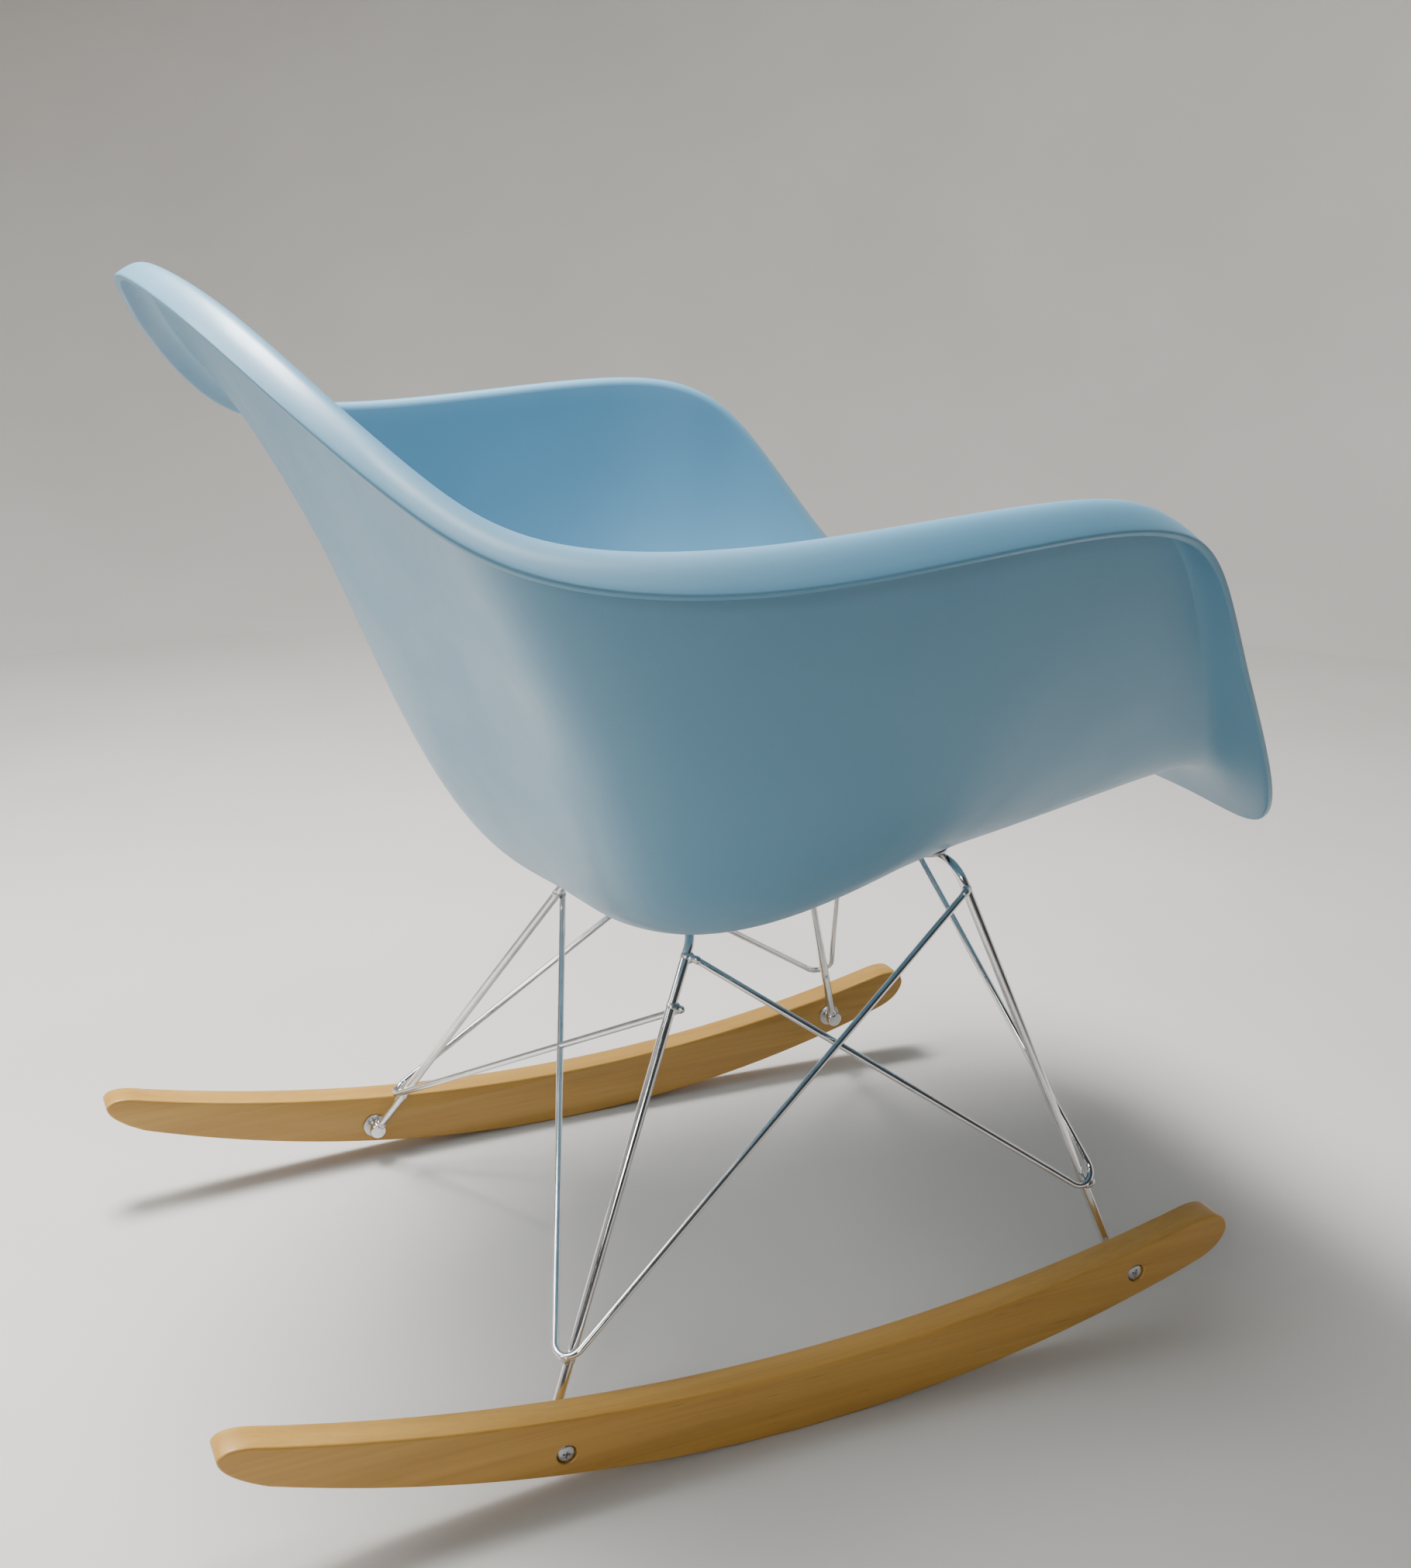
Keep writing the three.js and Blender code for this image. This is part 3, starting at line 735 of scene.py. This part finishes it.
class Nodes:
    """A material's node tree, with a few shorthands."""

    def __init__(self, name):
        self.material = bpy.data.materials.new(name)
        self.material.use_nodes = True
        self.tree = self.material.node_tree
        self.shader = self.tree.nodes["Principled BSDF"]
        self.place = self.add("ShaderNodeTexCoord").outputs["Object"]

    def add(self, kind, **values):
        node = self.tree.nodes.new(kind)
        for key, value in values.items():
            setattr(node, key, value)
        return node

    def link(self, source, target):
        self.tree.links.new(source, target)

    def set(self, **values):
        for key, value in values.items():
            self.shader.inputs[key.replace("_", " ")].default_value = value

    def stretched(self, size):
        node = self.add("ShaderNodeMapping")
        node.inputs["Scale"].default_value = size
        self.link(self.place, node.inputs["Vector"])
        return node.outputs["Vector"]

    def noise(self, scale, detail=4, roughness=0.5, place=None, distortion=0.0):
        node = self.add("ShaderNodeTexNoise")
        node.inputs["Scale"].default_value = scale
        node.inputs["Detail"].default_value = detail
        node.inputs["Roughness"].default_value = roughness
        node.inputs["Distortion"].default_value = distortion
        self.link(place or self.place, node.inputs["Vector"])
        return node.outputs["Fac"]

    def ramp(self, source, stops):
        node = self.add("ShaderNodeValToRGB")
        ramp = node.color_ramp
        ramp.elements[0].position, ramp.elements[0].color = stops[0][0], (*stops[0][1], 1)
        ramp.elements[1].position, ramp.elements[1].color = stops[-1][0], (*stops[-1][1], 1)
        for position, colour in stops[1:-1]:
            ramp.elements.new(position).color = (*colour, 1)
        self.link(source, node.inputs["Fac"])
        return node.outputs["Color"]

    def span(self, source, low, high, start=0.0, end=1.0):
        node = self.add("ShaderNodeMapRange")
        limits = {"From Min": start, "From Max": end, "To Min": low, "To Max": high}
        for key, value in limits.items():
            node.inputs[key].default_value = value
        self.link(source, node.inputs["Value"])
        return node.outputs["Result"]

    def blend(self, factor, a, b, kind="MIX"):
        node = self.add("ShaderNodeMix", data_type="RGBA", blend_type=kind)
        for socket, value in (("Factor", factor), ("A", a), ("B", b)):
            target = next(s for s in node.inputs if s.name == socket and s.enabled)
            if hasattr(value, "links"):
                self.link(value, target)
            else:
                target.default_value = value
        return next(s for s in node.outputs if s.enabled)

    def bump(self, heights):
        """Chained bumps, each (height, strength, distance in metres)."""
        normal = None
        for height, strength, distance in heights:
            node = self.add("ShaderNodeBump")
            node.inputs["Strength"].default_value = strength
            node.inputs["Distance"].default_value = distance
            self.link(height, node.inputs["Height"])
            if normal is not None:
                self.link(normal, node.inputs["Normal"])
            normal = node.outputs["Normal"]
        self.link(normal, self.shader.inputs["Normal"])


def plastic():
    """Light blue moulded plastic: satin, finely grained, with soft wear in its gloss and a painted
    highlight on its convex edges.
    """
    n = Nodes("moulded_plastic")
    cloud = n.noise(5, 3, 0.5)
    colour = n.ramp(cloud, [(0.3, (0.120, 0.300, 0.440)), (0.7, (0.135, 0.325, 0.470))])
    speck = n.noise(900, 2, 0.6)
    fleck = n.span(speck, 0.0, 0.35, 0.62, 0.75)
    colour = n.blend(fleck, colour, (0.17, 0.37, 0.52, 1))
    # Painted highlight: the convex edges, the rim's corners most of all, are made a lighter blue.
    edge = n.add("ShaderNodeNewGeometry").outputs["Pointiness"]
    painted_edge_highlight = n.span(edge, 0.0, 0.35, 0.53, 0.60)
    colour = n.blend(painted_edge_highlight, colour, (0.19, 0.40, 0.55, 1))
    n.link(colour, n.shader.inputs["Base Color"])
    rub = n.noise(14, 5, 0.6)
    n.link(n.span(rub, 0.36, 0.50, 0.3, 0.7), n.shader.inputs["Roughness"])
    n.set(Specular_IOR_Level=0.5, Coat_Weight=0.20, Coat_Roughness=0.20)
    grain = n.noise(1400, 2, 0.5)
    hatch = n.noise(60, 4, 0.6, n.stretched((1, 8, 3)))
    n.bump([(grain, 0.10, 0.0003), (hatch, 0.03, 0.0006)])
    return n.material


def chrome():
    """Bright plated rod with faint drawing lines and dulled patches."""
    n = Nodes("chromed_steel")
    haze = n.noise(70, 5, 0.6)
    colour = n.ramp(haze, [(0.35, (0.78, 0.79, 0.80)), (0.65, (0.90, 0.90, 0.91))])
    n.link(colour, n.shader.inputs["Base Color"])
    n.link(n.span(haze, 0.10, 0.22, 0.3, 0.75), n.shader.inputs["Roughness"])
    n.set(Metallic=1.0)
    lines = n.noise(420, 3, 0.6, n.stretched((1, 1, 0.08)))
    n.bump([(lines, 0.05, 0.0002), (n.noise(2500, 2, 0.5), 0.03, 0.0001)])
    return n.material


def weld_metal():
    n = Nodes("plated_weld")
    haze = n.noise(240, 4, 0.6)
    colour = n.ramp(haze, [(0.35, (0.60, 0.60, 0.61)), (0.65, (0.80, 0.80, 0.81))])
    n.link(colour, n.shader.inputs["Base Color"])
    n.link(n.span(haze, 0.18, 0.38, 0.3, 0.7), n.shader.inputs["Roughness"])
    n.set(Metallic=1.0)
    n.bump([(n.noise(700, 3, 0.6), 0.35, 0.0004)])
    return n.material


def zinc():
    """Satin zinc plate, turned and slightly scratched."""
    n = Nodes("zinc_plate")
    haze = n.noise(160, 5, 0.6)
    colour = n.ramp(haze, [(0.35, (0.52, 0.52, 0.53)), (0.65, (0.70, 0.69, 0.67))])
    n.link(colour, n.shader.inputs["Base Color"])
    n.link(n.span(haze, 0.22, 0.42, 0.3, 0.7), n.shader.inputs["Roughness"])
    n.set(Metallic=1.0)
    n.bump([(n.noise(900, 4, 0.7, n.stretched((1, 0.2, 1))), 0.12, 0.0002)])
    return n.material


def rubber():
    n = Nodes("black_rubber")
    dust = n.noise(90, 5, 0.65)
    colour = n.ramp(dust, [(0.4, (0.012, 0.012, 0.013)), (0.75, (0.045, 0.044, 0.043))])
    n.link(colour, n.shader.inputs["Base Color"])
    n.link(n.span(dust, 0.62, 0.85, 0.3, 0.7), n.shader.inputs["Roughness"])
    n.bump([(n.noise(1500, 3, 0.6), 0.25, 0.0003)])
    return n.material


def wood():
    """Golden maple along X: quiet rings, fine fibres, short flecks and a painted highlight on its
    rounded edges.
    """
    n = Nodes("golden_maple")
    rings = n.noise(9, 3, 0.5, n.stretched((0.35, 6, 6)), 0.6)
    pale, golden, deep = (0.580, 0.325, 0.064), (0.530, 0.285, 0.050), (0.470, 0.245, 0.040)
    colour = n.ramp(rings, [(0.30, deep), (0.50, golden), (0.70, pale)])
    fibre = n.noise(120, 5, 0.65, n.stretched((0.06, 4, 4)))
    shade = n.ramp(fibre, [(0.35, (0.80, 0.78, 0.74)), (0.62, (1.0, 1.0, 1.0))])
    colour = n.blend(0.55, colour, shade, "MULTIPLY")
    fleck = n.noise(300, 2, 0.5, n.stretched((0.14, 2.2, 2.2)))
    dark = n.span(fleck, 0.0, 0.45, 0.66, 0.78)
    colour = n.blend(dark, colour, (0.26, 0.13, 0.035, 1))
    # Painted highlight: the rounded edges of the rocker are made a paler gold.
    edge = n.add("ShaderNodeNewGeometry").outputs["Pointiness"]
    painted_edge_highlight = n.span(edge, 0.0, 0.45, 0.54, 0.62)
    colour = n.blend(painted_edge_highlight, colour, (0.62, 0.40, 0.15, 1))
    n.link(colour, n.shader.inputs["Base Color"])
    n.link(n.span(fibre, 0.34, 0.52, 0.3, 0.7), n.shader.inputs["Roughness"])
    n.set(Coat_Weight=0.25, Coat_Roughness=0.28)
    n.bump([(fibre, 0.10, 0.0004), (rings, 0.04, 0.0008)])
    return n.material


def pale_floor():
    n = Nodes("pale_floor")
    cloud = n.noise(3, 3, 0.5)
    colour = n.ramp(cloud, [(0.3, (0.56, 0.54, 0.51)), (0.7, (0.60, 0.58, 0.55))])
    n.link(colour, n.shader.inputs["Base Color"])
    n.set(Roughness=0.7)
    return n.material


# ---- the object ----------------------------------------------------------------


def paint(obj, material):
    obj.data.materials.clear()
    obj.data.materials.append(material)


def place(obj, material, slot, nodes=()):
    paint(obj, material)
    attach(obj, "root")
    if nodes:
        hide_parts(*nodes)


def build():
    plate, bright, seam = zinc(), chrome(), weld_metal()
    looks = {"fitting_steel": plate, "foot_chrome": bright, "mount_rubber": rubber()}
    place(shell(), plastic(), "shell_plastic", ["seat_shell"])
    rods, beads = base()
    for obj, nodes in rods:
        place(obj, bright, "rod_chrome", nodes)
    for obj in beads:
        place(obj, seam, "rod_chrome")
    timber = wood()
    for label in ("left", "right"):
        place(rocker(label), timber, "rocker_wood", ["rocker_" + label])
    for corner in CORNERS:
        for obj, node, slot in foot_fastening(corner) + seat_mount(corner):
            soft_shading(obj, 35)
            place(obj, looks[slot], slot, [node])


build()

# ---- stage ---------------------------------------------------------------------

FLOOR_REACH = 30
SWEEP_START = 1.9
SWEEP_BEND = 0.8
WALL_TOP = 2.7
CAMERA_AT = (-0.441, -1.087, 0.7135)
CAMERA_YAW = -23.72
CAMERA_PITCH = -17.92
CAMERA_LENS = 44.45


def floor():
    ways = ((-1, -1), (1, -1), (1, 1), (-1, 1))
    corners = [(FLOOR_REACH * i, FLOOR_REACH * j, 0) for i, j in ways]
    obj = new_object("floor", corners, [(0, 1, 2, 3)])
    paint(obj, pale_floor())


def backdrop():
    """A pale wall round the far side, with a curved foot under the floor."""
    sweep = []
    for k in range(17):
        a = math.pi / 2 * k / 16
        rise = SWEEP_BEND - SWEEP_BEND * math.cos(a) - 0.002
        sweep.append((SWEEP_START + SWEEP_BEND * math.sin(a), rise))
    sweep.append((SWEEP_START + SWEEP_BEND, WALL_TOP))
    count = 72
    vertices, faces = [], []
    for k in range(count + 1):
        a = math.radians(-25 + 230 * k / count)
        vertices += [(r * math.cos(a), r * math.sin(a), z) for r, z in sweep]
    size = len(sweep)
    for k in range(count):
        for i in range(size - 1):
            low = k * size + i
            faces.append((low, low + 1, low + size + 1, low + size))
    obj = new_object("backdrop", vertices, faces)
    paint(obj, pale_floor())
    obj.data.polygons.foreach_set("use_smooth", [True] * len(obj.data.polygons))


def area_light(name, place_at, aim, size, power, spread):
    data = bpy.data.lights.new(name, "AREA")
    data.shape = "RECTANGLE"
    data.size, data.size_y = size
    data.energy = power
    data.spread = math.radians(spread)
    obj = bpy.data.objects.new(name, data)
    obj.location = place_at
    obj.visible_camera = False
    obj.rotation_euler = (Vector(aim) - Vector(place_at)).to_track_quat("-Z", "Y").to_euler()
    bpy.context.scene.collection.objects.link(obj)


def lights():
    aim = (0, 0, 0.35)
    area_light("window", (-1.15, 0.45, 1.30), aim, (0.8, 0.6), 15, 180)
    area_light("top", (-0.35, 0.62, 1.85), aim, (0.7, 0.5), 78, 180)
    area_light("strip", (-1.25, -1.05, 1.60), (0.0, -0.25, 0.2), (0.4, 0.15), 1.0, 180)
    area_light("low", (-0.95, -1.55, 1.05), (0.0, -0.24, 0.0), (0.4, 0.3), 0.5, 42)
    area_light("overhead", (-0.10, -0.34, 1.90), (0.0, -0.2, 0.4), (0.5, 0.2), 11, 180)
    area_light("ceiling", (0.0, 0.9, 2.9), aim, (1.8, 1.8), 12, 180)
    world = bpy.data.worlds.new("studio")
    bpy.context.scene.world = world
    world.use_nodes = True
    tree = world.node_tree
    sky = tree.nodes["Background"]
    sky.inputs["Strength"].default_value = 1.0
    # The room is pale on the far left and dim behind the viewer.
    where = tree.nodes.new("ShaderNodeTexCoord")
    dot = tree.nodes.new("ShaderNodeVectorMath")
    dot.operation = "DOT_PRODUCT"
    dot.inputs[1].default_value = (-0.50, 0.80, 0.33)
    ramp = tree.nodes.new("ShaderNodeValToRGB")
    ramp.color_ramp.elements[0].position = 0.0
    ramp.color_ramp.elements[0].color = (0.05, 0.05, 0.052, 1)
    ramp.color_ramp.elements[1].position = 0.75
    ramp.color_ramp.elements[1].color = (0.62, 0.61, 0.59, 1)
    tree.links.new(where.outputs["Generated"], dot.inputs[0])
    tree.links.new(dot.outputs["Value"], ramp.inputs["Fac"])
    tree.links.new(ramp.outputs["Color"], sky.inputs["Color"])


def camera():
    """The viewpoint: from the right rear, a little above the seat."""
    data = bpy.data.cameras.new("camera")
    data.lens = CAMERA_LENS
    data.sensor_width = 36
    data.sensor_fit = "AUTO"
    obj = bpy.data.objects.new("camera", data)
    yaw = Matrix.Rotation(math.radians(CAMERA_YAW), 4, "Z")
    pitch = Matrix.Rotation(math.radians(90 + CAMERA_PITCH), 4, "X")
    obj.matrix_world = Matrix.Translation(CAMERA_AT) @ yaw @ pitch
    bpy.context.scene.collection.objects.link(obj)
    bpy.context.scene.camera = obj


floor()
backdrop()
lights()
camera()
